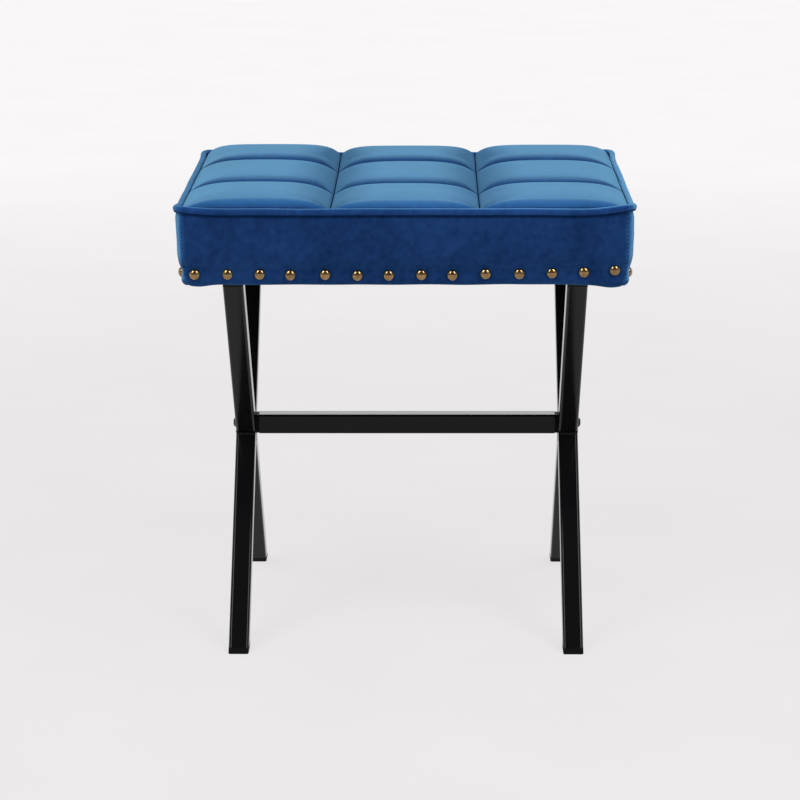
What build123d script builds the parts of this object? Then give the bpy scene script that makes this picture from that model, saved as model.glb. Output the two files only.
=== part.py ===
"""Upholstered bench on two X-frames of square steel tube, joined by a stretcher.

Millimetres. The origin is on the floor under the middle of the seat, +X to the right,
+Y to the back and +Z up. The seat lies on two mounting bars and is bolted to them from below.
"""

import os
from math import atan2, cos, hypot, sin

from build123d import *

# Square steel tube of the frame
tube_size = 22.0
tube_wall = 1.2
tube_corner_radius = 2.5

# X-frames: floor to the top of the bars, and how far the seat stands out past the outer faces
# of the tubes and past the leg centre lines at the floor
frame_height = 409.0
seat_side_overhang = 49.5
seat_end_overhang = 25.0
bar_thickness = 3.0
bar_corner_radius = 3.0

# Foot caps
foot_thickness = 6.0
foot_plug_length = 18.0
foot_edge_radius = 1.0

# Stretcher, its end plugs and the bolts that hold it
stretcher_rise = 8.5
plug_flange_thickness = 4.0
plug_flange_inset = 0.6
plug_length = 24.0
bolt_diameter = 6.0
bolt_engagement = 18.0
button_head_diameter = 12.0
button_head_height = 3.5
button_flat_diameter = 6.4
button_dome_radius = 5.0
button_socket_width = 4.0
button_socket_depth = 2.0

# Seat fasteners
seat_bolt_spacing = 220.0
seat_bolt_engagement = 12.0
hex_head_width = 10.0
hex_head_height = 4.0
washer_diameter = 14.0
washer_thickness = 1.2
tee_nut_flange_diameter = 18.0
tee_nut_flange_thickness = 1.5
tee_nut_barrel_diameter = 8.0
tee_nut_barrel_length = 11.0

# Seat outline over the piping, and its layers from below
seat_width = 485.0
seat_depth = 410.0
seat_corner_radius = 16.0
dust_cover_thickness = 0.8
dust_cover_inset = 18.0
dust_cover_corner_radius = 6.0
cover_thickness = 1.6
board_thickness = 18.0
board_edge_radius = 4.4
foam_thickness = 46.0

# Piping: round cord with a sewn-in tail that hangs inside the boxing
piping_diameter = 6.6
piping_tail_thickness = 1.2
piping_tail_length = 10.0

# Boxing: insets from the seat outline
boxing_bulge_inset = 1.8
nail_band_inset = 6.0
hem_width = 26.0

# Quilted top: heights are measured from the middle of the piping
quilt_columns = 3
quilt_rows = 3
quilt_edge_height = 13.0
quilt_border_rise = 0.5
quilt_seam_drop = 3.0
quilt_seam_lift = 2.5
quilt_crown_rise = 20.0
quilt_fullness = 2.6
quilt_section_shares = (0.0, 0.1, 0.28, 0.5, 0.72, 0.9, 1.0)

# Upholstery nails
nail_head_diameter = 11.0
nail_head_height = 4.6
nail_rim_height = 0.5
nail_shank_width = 1.8
nail_shank_length = 12.0
nail_corner_inset = 20.5
front_nail_count = 14
side_nail_count = 12

# Clearances
hole_clearance = 0.3
plug_clearance = 0.15
cover_clearance = 0.1
nail_hole_clearance = 0.05

# Worked-out places of the frame
frame_width = seat_width - 2 * seat_side_overhang
foot_spread = seat_depth - 2 * seat_end_overhang
leg_angle = atan2(foot_spread, frame_height)
leg_length = hypot(foot_spread, frame_height)
leg_x = (frame_width - tube_size) / 2
crossing_height = frame_height / 2
tube_top = frame_height - bar_thickness
tube_bore = tube_size - 2 * tube_wall
tube_bore_radius = tube_corner_radius - tube_wall
tube_level_depth = tube_size / cos(leg_angle)
plug_size = tube_bore - 2 * plug_clearance
bolt_height = crossing_height + stretcher_rise
bolt_hole_radius = bolt_diameter / 2 + hole_clearance
inner_face_x = frame_width / 2 - tube_size
stretcher_length = 2 * (inner_face_x - plug_flange_thickness)

# Worked-out levels of the seat
cover_bottom = frame_height + dust_cover_thickness
board_bottom = cover_bottom + cover_thickness
board_top = board_bottom + board_thickness
foam_top = board_top + foam_thickness
piping_height = foam_top + quilt_edge_height
piping_radius = piping_diameter / 2
nail_height = board_bottom + board_thickness / 2
nail_band_top = nail_height + nail_head_diameter / 2 + cover_thickness
nail_hole_width = nail_shank_width + 2 * nail_hole_clearance
nail_hole_depth = nail_shank_length + nail_hole_clearance
nail_dome_rise = nail_head_height - nail_rim_height
nail_dome_radius = ((nail_head_diameter / 2) ** 2 + nail_dome_rise**2) / (2 * nail_dome_rise)

# Worked-out insets from the seat outline
boxing_top_inset = piping_diameter - piping_tail_thickness - cover_thickness
boxing_edge_radius = board_edge_radius + cover_thickness
hem_start_inset = nail_band_inset + boxing_edge_radius
hem_end_inset = hem_start_inset + hem_width
board_inset = nail_band_inset + cover_thickness + cover_clearance
quilt_inset = piping_diameter + cover_clearance

# Four sides of the seat: turn about +Z from the front, length, distance across, count of nails
seat_sides = {
    "front": (0, seat_width, seat_depth, front_nail_count),
    "right": (90, seat_depth, seat_width, side_nail_count),
    "back": (180, seat_width, seat_depth, front_nail_count),
    "left": (270, seat_depth, seat_width, side_nail_count),
}

sides = {"left": -1, "right": 1}
seat_bolt_places = [(side * leg_x, end * seat_bolt_spacing / 2) for side in (-1, 1) for end in (-1, 1)]

os.makedirs("parts", exist_ok=True)


def save(piece, name):
    """Label a finished piece and write it as one file."""
    piece.part.label = name
    export_step(piece.part, f"parts/{name}.step")


def leg_plane(side, lean, height):
    """Plane square to a leg, at a height on its centre line. A lean of 1 leans back at the top."""
    along = (height / frame_height - 0.5) * foot_spread
    return Plane(
        origin=(side * leg_x, lean * along, height),
        x_dir=(1, 0, 0),
        z_dir=(0, lean * sin(leg_angle), cos(leg_angle)),
    )


def tube_section():
    """Hollow square section with rounded corners, in the sketch that is open."""
    RectangleRounded(tube_size, tube_size, tube_corner_radius)
    RectangleRounded(tube_bore, tube_bore, tube_bore_radius, mode=Mode.SUBTRACT)


def seat_outline(inset):
    """Width, depth and corner radius of the seat's plan outline, drawn in by an inset."""
    return seat_width - 2 * inset, seat_depth - 2 * inset, seat_corner_radius - inset


# X-frames: a through tube, two half tubes that meet its faces, and a bar across the top
for side_name, side in sides.items():
    with BuildPart() as through_tube:
        with BuildSketch(leg_plane(side, 1, crossing_height)):
            tube_section()
        extrude(amount=leg_length, both=True)
        split(bisect_by=Plane.XY.offset(foot_thickness), keep=Keep.TOP)
        split(bisect_by=Plane.XY.offset(tube_top), keep=Keep.BOTTOM)
        with BuildSketch(Plane.YZ):
            with Locations((0, bolt_height)):
                Circle(bolt_hole_radius)
        extrude(amount=frame_width, both=True, mode=Mode.SUBTRACT)
    save(through_tube, f"{side_name}_through_tube")

    for half_name, way in {"upper": 1, "lower": -1}.items():
        face_direction = Vector(0, -way * cos(leg_angle), way * sin(leg_angle))
        through_face = Plane(
            origin=Vector(side * leg_x, 0, crossing_height) + face_direction * tube_size / 2,
            x_dir=(1, 0, 0),
            z_dir=face_direction,
        )
        with BuildPart() as half_tube:
            with BuildSketch(leg_plane(side, -1, crossing_height)):
                tube_section()
            extrude(amount=leg_length, both=True)
            split(bisect_by=Plane.XY.offset(foot_thickness), keep=Keep.TOP)
            split(bisect_by=Plane.XY.offset(tube_top), keep=Keep.BOTTOM)
            split(bisect_by=through_face, keep=Keep.TOP)
        save(half_tube, f"{side_name}_{half_name}_half_tube")

    bar_length = (2 * tube_top / frame_height - 1) * foot_spread + tube_level_depth
    with BuildPart() as mounting_bar:
        with BuildSketch(Plane.XY.offset(tube_top)):
            with Locations((side * leg_x, 0)):
                RectangleRounded(tube_size, bar_length, bar_corner_radius)
                with GridLocations(0, seat_bolt_spacing, 1, 2):
                    Circle(bolt_hole_radius, mode=Mode.SUBTRACT)
        extrude(amount=bar_thickness)
    save(mounting_bar, f"{side_name}_mounting_bar")

    for end_name, lean in {"front": 1, "back": -1}.items():
        foot_place = (side * leg_x, -lean * foot_spread / 2)
        with BuildPart() as foot_cap:
            with BuildSketch(leg_plane(side, lean, foot_thickness)):
                RectangleRounded(plug_size, plug_size, tube_bore_radius)
            extrude(amount=foot_plug_length, both=True)
            split(bisect_by=Plane.XY.offset(foot_thickness), keep=Keep.TOP)
            with BuildSketch(Plane.XY):
                with Locations(foot_place):
                    RectangleRounded(tube_size, tube_level_depth, tube_corner_radius)
            extrude(
                amount=foot_thickness / cos(leg_angle),
                dir=(0, lean * sin(leg_angle), cos(leg_angle)),
            )
            fillet(faces().sort_by(Axis.Z)[0].edges(), radius=foot_edge_radius)
        save(foot_cap, f"{side_name}_{end_name}_foot_cap")

# Stretcher between the two crossings
with BuildPart() as stretcher_tube:
    with BuildSketch(Plane.YZ):
        with Locations((0, bolt_height)):
            tube_section()
    extrude(amount=stretcher_length / 2, both=True)
save(stretcher_tube, "stretcher_tube")

# End plugs: a flange against the X-frame and a square plug with the bolt's bore
for side_name, side in sides.items():
    outward = Plane(origin=(side * inner_face_x, 0, bolt_height), x_dir=(0, 1, 0), z_dir=(-side, 0, 0))
    flange_size = tube_size - 2 * plug_flange_inset
    with BuildPart() as stretcher_plug:
        with BuildSketch(outward):
            RectangleRounded(flange_size, flange_size, tube_corner_radius)
        extrude(amount=plug_flange_thickness)
        with BuildSketch(outward):
            RectangleRounded(plug_size, plug_size, tube_bore_radius)
        extrude(amount=plug_flange_thickness + plug_length)
        with BuildSketch(outward):
            Circle(bolt_diameter / 2 + plug_clearance)
        extrude(amount=plug_flange_thickness + plug_length, mode=Mode.SUBTRACT)
    save(stretcher_plug, f"{side_name}_stretcher_plug")

# Button-head bolts through the crossings into the plugs
with BuildPart() as stretcher_bolts:
    for side in sides.values():
        head_seat = Plane(origin=(side * frame_width / 2, 0, bolt_height), x_dir=(0, 1, 0), z_dir=(side, 0, 0))
        with BuildSketch(Plane(head_seat.origin, x_dir=(side, 0, 0), z_dir=(0, -side, 0))):
            with BuildLine():
                dome = RadiusArc(
                    (0, button_head_diameter / 2),
                    (button_head_height, button_flat_diameter / 2),
                    button_dome_radius,
                )
                Polyline(dome @ 1, (button_head_height, 0), (0, 0), dome @ 0)
            make_face()
        revolve(axis=Axis(head_seat.origin, head_seat.z_dir))
        with BuildSketch(head_seat):
            Circle(bolt_diameter / 2)
        extrude(amount=-(tube_size + plug_flange_thickness + bolt_engagement))
        with BuildSketch(head_seat.offset(button_head_height)):
            RegularPolygon(button_socket_width / 2, 6, major_radius=False)
        extrude(amount=-button_socket_depth, mode=Mode.SUBTRACT)
save(stretcher_bolts, "stretcher_bolts")

# Seat fasteners: hex bolts and washers under the bars, tee nuts let into the board
with BuildPart() as seat_washers:
    with BuildSketch(Plane.XY.offset(tube_top - washer_thickness)):
        with Locations(*seat_bolt_places):
            Circle(washer_diameter / 2)
            Circle(bolt_hole_radius, mode=Mode.SUBTRACT)
    extrude(amount=washer_thickness)
save(seat_washers, "seat_washers")

with BuildPart() as seat_bolts:
    with BuildSketch(Plane.XY.offset(tube_top - washer_thickness)):
        with Locations(*seat_bolt_places):
            RegularPolygon(hex_head_width / 2, 6, major_radius=False)
    extrude(amount=-hex_head_height)
    with BuildSketch(Plane.XY.offset(tube_top - washer_thickness)):
        with Locations(*seat_bolt_places):
            Circle(bolt_diameter / 2)
    extrude(amount=board_bottom + seat_bolt_engagement - tube_top + washer_thickness)
save(seat_bolts, "seat_bolts")

with BuildPart() as tee_nuts:
    with BuildSketch(Plane.XY.offset(board_top)):
        with Locations(*seat_bolt_places):
            Circle(tee_nut_flange_diameter / 2)
    extrude(amount=-tee_nut_flange_thickness)
    with BuildSketch(Plane.XY.offset(board_top)):
        with Locations(*seat_bolt_places):
            Circle(tee_nut_barrel_diameter / 2)
    extrude(amount=-tee_nut_flange_thickness - tee_nut_barrel_length)
    with BuildSketch(Plane.XY.offset(board_top)):
        with Locations(*seat_bolt_places):
            Circle(bolt_diameter / 2 + plug_clearance)
    extrude(amount=-board_thickness, mode=Mode.SUBTRACT)
save(tee_nuts, "tee_nuts")

# Base board: plywood with a rounded lower edge, tee nuts let in from above, nails in its edge
def side_plane(turn, across, inset, height):
    """Plane that faces out of one side of the seat, at an inset from its outline."""
    outward = Vector(0, -1, 0).rotate(Axis.Z, turn)
    return Plane(
        origin=outward * (across / 2 - inset) + Vector(0, 0, height),
        x_dir=Vector(1, 0, 0).rotate(Axis.Z, turn),
        z_dir=outward,
    )


def nail_grid(length, count):
    """Evenly spaced places of one row of nails."""
    return GridLocations((length - 2 * nail_corner_inset) / (count - 1), 0, count, 1)


def nail_holes(turn, length, across, count):
    """Square holes for one row of nail shanks."""
    with BuildSketch(side_plane(turn, across, nail_band_inset, nail_height)) as holes:
        with nail_grid(length, count):
            Rectangle(nail_hole_width, nail_hole_width)
    return holes.sketch


with BuildPart() as base_board:
    with BuildSketch(Plane.XY.offset(board_bottom)):
        RectangleRounded(*seat_outline(board_inset))
    extrude(amount=board_thickness)
    fillet(faces().sort_by(Axis.Z)[0].edges(), radius=board_edge_radius)
    with Locations(Plane.XY.offset(board_top)):
        with Locations(*seat_bolt_places):
            CounterBoreHole(
                radius=tee_nut_barrel_diameter / 2 + hole_clearance,
                counter_bore_radius=tee_nut_flange_diameter / 2 + hole_clearance,
                counter_bore_depth=tee_nut_flange_thickness,
            )
    for seat_side in seat_sides.values():
        extrude(nail_holes(*seat_side), amount=-nail_hole_depth, mode=Mode.SUBTRACT)
save(base_board, "base_board")

# Foam block on the board, cut to the board's outline
with BuildPart() as foam_block:
    with BuildSketch(Plane.XY.offset(board_top)):
        RectangleRounded(*seat_outline(board_inset))
    extrude(amount=foam_thickness)
save(foam_block, "foam_block")

# Quilted top: each row of squares is lofted through scalloped sections from front to back
quilt_width, quilt_depth, quilt_corner_radius = seat_outline(quilt_inset)
# The middle squares are as deep as they are wide, and the front and back rows take what is left
square_side = quilt_width / quilt_columns
row_seams = [(row - quilt_rows / 2) * square_side for row in range(1, quilt_rows)]
row_edges = [-quilt_depth / 2, *row_seams, quilt_depth / 2]
seam_level = piping_height - quilt_seam_drop
border_level = piping_height + quilt_border_rise
crown_level = piping_height + quilt_crown_rise


def swell(share):
    """Fullness of a sewn square across its width or depth: 0 at both seams and 1 in the middle."""
    return 1 - abs(2 * share - 1) ** quilt_fullness


def seam_base(row, row_share):
    """Height of a row's front and back seams, or border, blended from one to the other."""
    front = border_level if row == 0 else seam_level
    back = border_level if row == quilt_rows - 1 else seam_level
    return front + (back - front) * row_share


def seam_height(column, row, row_share):
    """Height along a seam that runs front to back, or along the left or right border."""
    if column in (0, quilt_columns):
        return border_level
    return seam_base(row, row_share) + quilt_seam_lift * swell(row_share)


def middle_height(row, row_share):
    """Height along the middle of a row of squares, from its front seam over its crown to its back."""
    base = seam_base(row, row_share) + quilt_seam_lift
    return base + (crown_level - base) * swell(row_share)


with BuildPart() as quilted_top:
    for row, (row_front, row_back) in enumerate(zip(row_edges, row_edges[1:])):
        for row_share in quilt_section_shares:
            section_y = row_front + (row_back - row_front) * row_share
            seams = [
                (column * square_side - quilt_width / 2, seam_height(column, row, row_share))
                for column in range(quilt_columns + 1)
            ]
            with BuildSketch(Plane.XZ.offset(-section_y)):
                with BuildLine():
                    for start, end in zip(seams, seams[1:]):
                        middle = ((start[0] + end[0]) / 2, middle_height(row, row_share))
                        ThreePointArc(start, middle, end)
                    Polyline(seams[-1], (quilt_width / 2, foam_top), (-quilt_width / 2, foam_top), seams[0])
                make_face()
        loft()
    with BuildSketch(Plane.XY.offset(foam_top)):
        RectangleRounded(quilt_width, quilt_depth, quilt_corner_radius)
    extrude(amount=crown_level + quilt_crown_rise - foam_top, mode=Mode.INTERSECT)
save(quilted_top, "quilted_top")

# Edge of the seat, which the boxing and the piping follow
with BuildLine() as seat_edge:
    FilletPolyline(
        (-seat_width / 2, -seat_depth / 2),
        (seat_width / 2, -seat_depth / 2),
        (seat_width / 2, seat_depth / 2),
        (-seat_width / 2, seat_depth / 2),
        radius=seat_corner_radius,
        close=True,
    )
edge_direction = seat_edge.line % 0
# Across the edge: x is the inset from the seat outline and y is the height above the floor
edge_section = Plane(
    origin=seat_edge.line @ 0,
    x_dir=Vector(0, 0, 1).cross(edge_direction),
    z_dir=edge_direction,
)

# Piping: the cord on the outline, its tail flush with the cord's inner side
with BuildPart() as piping:
    with BuildSketch(edge_section):
        with Locations((piping_radius, piping_height)):
            Circle(piping_radius)
        with Locations((piping_diameter, piping_height)):
            Rectangle(piping_tail_thickness, piping_tail_length, align=(Align.MAX, Align.MAX))
    sweep(path=seat_edge.line)
save(piping, "piping")

# Boxing: one band of cover round the seat, swollen above the nails and turned under the board
boxing_top = piping_height - piping_radius - cover_clearance
bulge_level = (boxing_top + nail_band_top) / 2
fold_level = cover_bottom + boxing_edge_radius
with BuildPart() as boxing_band:
    with BuildSketch(edge_section):
        with BuildLine():
            outside = ThreePointArc(
                (boxing_top_inset, boxing_top),
                (boxing_bulge_inset, bulge_level),
                (nail_band_inset, nail_band_top),
            )
            outer_band = Line(outside @ 1, (nail_band_inset, fold_level))
            outer_fold = JernArc(outer_band @ 1, (0, -1), boxing_edge_radius, 90)
            hem_edge = Line(outer_fold @ 1, (hem_start_inset, board_bottom))
            inner_fold = JernArc(hem_edge @ 1, (-1, 0), board_edge_radius, -90)
            inner_band = Line(inner_fold @ 1, (nail_band_inset + cover_thickness, nail_band_top))
            inside = ThreePointArc(
                inner_band @ 1,
                (boxing_bulge_inset + cover_thickness, bulge_level),
                (boxing_top_inset + cover_thickness, boxing_top),
            )
            Line(inside @ 1, outside @ 0)
        make_face()
    sweep(path=seat_edge.line)
    with BuildSketch(Plane.XY.offset(cover_bottom)):
        RectangleRounded(*seat_outline(hem_start_inset))
        Rectangle(seat_width - 2 * hem_end_inset, seat_depth - 2 * hem_end_inset, mode=Mode.SUBTRACT)
    extrude(amount=cover_thickness)

# The band is cut into four panels at the corner seams
for side_name, (turn, length, across, count) in seat_sides.items():
    with BuildPart() as boxing_panel:
        add(boxing_band.part)
        with BuildSketch(Plane.XY.offset(cover_bottom).rotated((0, 0, turn))):
            Polygon(
                (-length / 2, -across / 2),
                (length / 2, -across / 2),
                (length / 2 - hem_end_inset, hem_end_inset - across / 2),
                (hem_end_inset - length / 2, hem_end_inset - across / 2),
                align=None,
            )
        extrude(amount=piping_height - cover_bottom, mode=Mode.INTERSECT)
        extrude(nail_holes(turn, length, across, count), amount=-nail_hole_depth, mode=Mode.SUBTRACT)
    save(boxing_panel, f"{side_name}_boxing")

# Dust cover under the board, over the hem of the boxing
with BuildPart() as dust_cover:
    with BuildSketch(Plane.XY.offset(frame_height)):
        RectangleRounded(
            seat_width - 2 * dust_cover_inset,
            seat_depth - 2 * dust_cover_inset,
            dust_cover_corner_radius,
        )
        with Locations(*seat_bolt_places):
            Circle(bolt_hole_radius, mode=Mode.SUBTRACT)
    extrude(amount=dust_cover_thickness)
save(dust_cover, "dust_cover")

# Upholstery nails: one nail with a domed head and a square shank, then a row of them on each side
with BuildPart() as brass_nail:
    with BuildSketch(Plane.XZ):
        with BuildLine():
            rim = Line((nail_head_diameter / 2, 0), (nail_head_diameter / 2, nail_rim_height))
            dome = RadiusArc(rim @ 1, (0, nail_head_height), -nail_dome_radius)
            Polyline(dome @ 1, (0, 0), rim @ 0)
        make_face()
    revolve(axis=Axis.Z)
    with BuildSketch(Plane.XY):
        Rectangle(nail_shank_width, nail_shank_width)
    extrude(amount=-nail_shank_length)

for side_name, (turn, length, across, count) in seat_sides.items():
    with BuildPart(side_plane(turn, across, nail_band_inset, nail_height)) as nail_row:
        with nail_grid(length, count):
            add(brass_nail.part)
    save(nail_row, f"{side_name}_nails")
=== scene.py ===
import itertools
import math
import random

import bmesh
import bpy
from mathutils import Matrix, Vector, noise


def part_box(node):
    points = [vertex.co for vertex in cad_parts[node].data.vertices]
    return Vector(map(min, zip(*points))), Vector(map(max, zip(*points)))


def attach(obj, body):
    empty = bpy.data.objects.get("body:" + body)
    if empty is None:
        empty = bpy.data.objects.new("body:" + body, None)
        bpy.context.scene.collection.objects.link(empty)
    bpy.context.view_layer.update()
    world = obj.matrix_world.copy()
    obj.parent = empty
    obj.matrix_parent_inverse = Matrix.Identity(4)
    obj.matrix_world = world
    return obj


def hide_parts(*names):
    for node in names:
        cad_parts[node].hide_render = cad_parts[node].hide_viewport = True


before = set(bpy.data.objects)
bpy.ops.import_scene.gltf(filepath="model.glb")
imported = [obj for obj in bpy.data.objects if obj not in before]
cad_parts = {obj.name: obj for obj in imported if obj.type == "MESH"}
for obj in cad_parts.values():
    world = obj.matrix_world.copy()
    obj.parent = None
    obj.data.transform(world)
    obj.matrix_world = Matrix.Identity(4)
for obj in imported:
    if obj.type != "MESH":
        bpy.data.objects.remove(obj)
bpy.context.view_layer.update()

# Legs: two X-frames of square steel tube, each one through tube and two half tubes.
# The tube has rounded corners, its ends are sawn level, and the welded frame is powder
# coated satin black.
foot_spread = 0.360
bar_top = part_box("left_mounting_bar")[1].z
tube_low, tube_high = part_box("left_through_tube")
tube_size = tube_high.x - tube_low.x
leg_corner_radius = 0.0032
leg_x = -(tube_low.x + tube_high.x) / 2
leg_tilt = math.atan2(foot_spread, bar_top)
leg_length = math.hypot(foot_spread, bar_top) + 2 * tube_size
crossing = Vector((0, 0, bar_top / 2))
sides = {"left": -1, "right": 1}
halves = {"upper": 1, "lower": -1}


def node(material, kind, sockets=None, **settings):
    """A new shader node; each socket is given a value, or the output that feeds it."""
    made = material.node_tree.nodes.new(kind)
    for name, value in settings.items():
        setattr(made, name, value)
    for name, value in (sockets or {}).items():
        if isinstance(value, bpy.types.NodeSocket):
            material.node_tree.links.new(value, made.inputs[name])
        else:
            made.inputs[name].default_value = value
    return made


def surface(name, sockets):
    """A new material with these values on its shader, its shader, and its object coordinates."""
    material = bpy.data.materials.new(name)
    material.use_nodes = True
    shader = material.node_tree.nodes["Principled BSDF"]
    for socket, value in sockets.items():
        shader.inputs[socket].default_value = value
    place = node(material, "ShaderNodeTexCoord").outputs["Object"]
    return material, shader, place


def feed(material, shader, socket, output):
    """Link an output to a socket of the shader."""
    material.node_tree.links.new(output, shader.inputs[socket])


def grain(material, place, scale, detail=2.0, distortion=0.0):
    """Soft noise from 0 to 1, with this many features to the metre."""
    sockets = {"Vector": place, "Scale": scale, "Detail": detail, "Distortion": distortion}
    return node(material, "ShaderNodeTexNoise", sockets).outputs["Fac"]


def spread(material, value, given, wanted):
    """A value in the given range, carried over to the wanted one."""
    sockets = {"Value": value, "From Min": given[0], "From Max": given[1],
               "To Min": wanted[0], "To Max": wanted[1]}
    return node(material, "ShaderNodeMapRange", sockets).outputs["Result"]


def shades(material, value, stops):
    """Colours along a ramp, each stop a place and a colour."""
    ramp = node(material, "ShaderNodeValToRGB", {"Fac": value})
    elements = ramp.color_ramp.elements
    while len(elements) < len(stops):
        elements.new(0.5)
    for element, (position, color) in zip(elements, stops):
        element.position = position
        element.color = (*color, 1.0)
    return ramp.outputs["Color"]


def relief(material, height, distance, strength=1.0):
    """Bump of a height from 0 to 1 that stands this many metres proud."""
    sockets = {"Height": height, "Distance": distance, "Strength": strength}
    return node(material, "ShaderNodeBump", sockets).outputs["Normal"]


def piece_of(shape, name, material, slot, *nodes):
    """Make a bmesh into a smooth piece of the bench that stands for the nodes given."""
    mesh = bpy.data.meshes.new(name)
    shape.to_mesh(mesh)
    shape.free()
    mesh.shade_smooth()
    mesh.materials.append(material)
    piece = bpy.data.objects.new(name, mesh)
    bpy.context.collection.objects.link(piece)
    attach(piece, "root")
    if nodes:
        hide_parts(*nodes)
    return piece


def keep_flats(piece, angle=40):
    """Shade the broad faces flat up to their rounded edges."""
    piece.data.set_sharp_from_angle(angle=math.radians(angle))
    weighted = piece.modifiers.new("broad faces", "WEIGHTED_NORMAL")
    weighted.keep_sharp = True
    weighted.weight = 100


def square_tube(length, corner_radius):
    """A length of the tube along +Z, centred on the origin, with rounded corners."""
    shape = bmesh.new()
    bmesh.ops.create_cube(shape, size=1.0)
    bmesh.ops.scale(shape, vec=(tube_size, tube_size, length), verts=shape.verts)
    corners = [edge for edge in shape.edges if abs(edge.verts[0].co.z - edge.verts[1].co.z) > length / 2]
    bmesh.ops.bevel(shape, geom=corners, offset=corner_radius, segments=6, profile=0.5,
                    affect="EDGES", material=-1)
    return shape


def saw(shape, point, direction):
    """Cut away what lies past a point in a direction and close the end."""
    geometry = shape.verts[:] + shape.edges[:] + shape.faces[:]
    cut = bmesh.ops.bisect_plane(shape, geom=geometry, plane_co=point, plane_no=direction, clear_outer=True)
    edges = [item for item in cut["geom_cut"] if isinstance(item, bmesh.types.BMEdge)]
    bmesh.ops.holes_fill(shape, edges=edges)


def leg(side, lean):
    """A whole leg through the crossing of one X-frame, cut level at the foot and under the bar."""
    shape = square_tube(leg_length, leg_corner_radius)
    turn = Matrix.Rotation(-lean * leg_tilt, 3, "X")
    bmesh.ops.rotate(shape, cent=(0, 0, 0), matrix=turn, verts=shape.verts)
    bmesh.ops.translate(shape, vec=crossing + Vector((side * leg_x, 0, 0)), verts=shape.verts)
    saw(shape, (0, 0, tube_low.z), (0, 0, -1))
    saw(shape, (0, 0, tube_high.z), (0, 0, 1))
    return shape


def outward_of(way):
    """Direction out of the through tube's upper (1) or lower (-1) side, towards the half tube there."""
    return Vector((0, -way * math.cos(leg_tilt), way * math.sin(leg_tilt)))


powder_coat, shader, place = surface("powder_coat", {
    "Base Color": (0.0042, 0.0042, 0.0048, 1.0), "Specular IOR Level": 0.15})
peel = grain(powder_coat, place, scale=700, detail=1.0)
feed(powder_coat, shader, "Normal", relief(powder_coat, peel, distance=0.00002, strength=0.4))
patches = grain(powder_coat, place, scale=45, detail=3.0)
gloss = spread(powder_coat, patches, given=(0.3, 0.7), wanted=(0.08, 0.13))
feed(powder_coat, shader, "Roughness", gloss)

for side_name, side in sides.items():
    node_name = f"{side_name}_through_tube"
    keep_flats(piece_of(leg(side, 1), f"{node_name}_coated", powder_coat, "frame_black", node_name))
    for half_name, way in halves.items():
        shape = leg(side, -1)
        saw(shape, crossing + outward_of(way) * tube_size / 2, -outward_of(way))
        node_name = f"{side_name}_{half_name}_half_tube"
        keep_flats(piece_of(shape, f"{node_name}_coated", powder_coat, "frame_black", node_name))

# Welds: rippled beads that join the half tubes to the through tube at each crossing.
# A bead fills each inner corner, and a thinner one runs down the flush sides; the powder
# coat covers them.
tube_radius = 0.0025
corner_bead_radius = 0.0022
flush_bead_radius = 0.0011
flush_bead_sink = 0.0006
bead_pitch = 0.0019
ripple_flatness = 0.75
half_joint = tube_size / 2 / math.sin(2 * leg_tilt)
along_tube = Vector((0, math.sin(leg_tilt), math.cos(leg_tilt)))


def weld_bead(shape, start, end, radius):
    """Add a bead from start to end, as a row of overlapping ripples."""
    ripples = round((end - start).length / bead_pitch)
    turn = Vector((0, 0, 1)).rotation_difference(end - start).to_matrix().to_4x4()
    flatten = Matrix.Diagonal((1.0, 1.0, ripple_flatness, 1.0))
    for number in range(ripples):
        spot = start.lerp(end, (number + 0.5) / ripples)
        bmesh.ops.create_uvsphere(shape, u_segments=8, v_segments=5, radius=radius,
                                  matrix=Matrix.Translation(spot) @ turn @ flatten)


for side_name, side in sides.items():
    shape = bmesh.new()
    middle = crossing + Vector((side * leg_x, 0, 0))
    for way, end in itertools.product(halves.values(), (-1, 1)):
        joint = middle + outward_of(way) * tube_size / 2
        corner = joint + along_tube * half_joint * end
        reach = Vector((tube_size / 2 - tube_radius, 0, 0))
        weld_bead(shape, corner - reach, corner + reach, corner_bead_radius)
        flush = joint + Vector((end * (tube_size / 2 - flush_bead_sink), 0, 0))
        reach = along_tube * (half_joint - tube_radius / 2)
        weld_bead(shape, flush - reach, flush + reach, flush_bead_radius)
    piece_of(shape, f"{side_name}_weld_beads", powder_coat, "frame_black")

# Mounting bars: flat steel welded across the tops of each X-frame, coated with it.
# The seat lies on them and is bolted through them from below.
def dress(node_name, material):
    """Give a piece that keeps its own shape its finish."""
    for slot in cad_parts[node_name].material_slots:
        slot.material = material


for side_name in sides:
    dress(f"{side_name}_mounting_bar", powder_coat)

# Foot caps: injection-moulded black plastic, pushed into the lower ends of the legs.
# The moulding has a fine spark texture that use has scuffed in places.
moulded_plastic, shader, place = surface("moulded_plastic", {
    "Base Color": (0.0028, 0.0028, 0.0031, 1.0), "Specular IOR Level": 0.06})
spark = grain(moulded_plastic, place, scale=2600)
feed(moulded_plastic, shader, "Normal", relief(moulded_plastic, spark, distance=0.00005, strength=0.6))
scuffs = grain(moulded_plastic, place, scale=160, detail=4.0, distortion=0.6)
dulled = spread(moulded_plastic, scuffs, given=(0.35, 0.7), wanted=(0.42, 0.62))
feed(moulded_plastic, shader, "Roughness", dulled)

for side_name, end_name in itertools.product(sides, ("front", "back")):
    dress(f"{side_name}_{end_name}_foot_cap", moulded_plastic)

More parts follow.
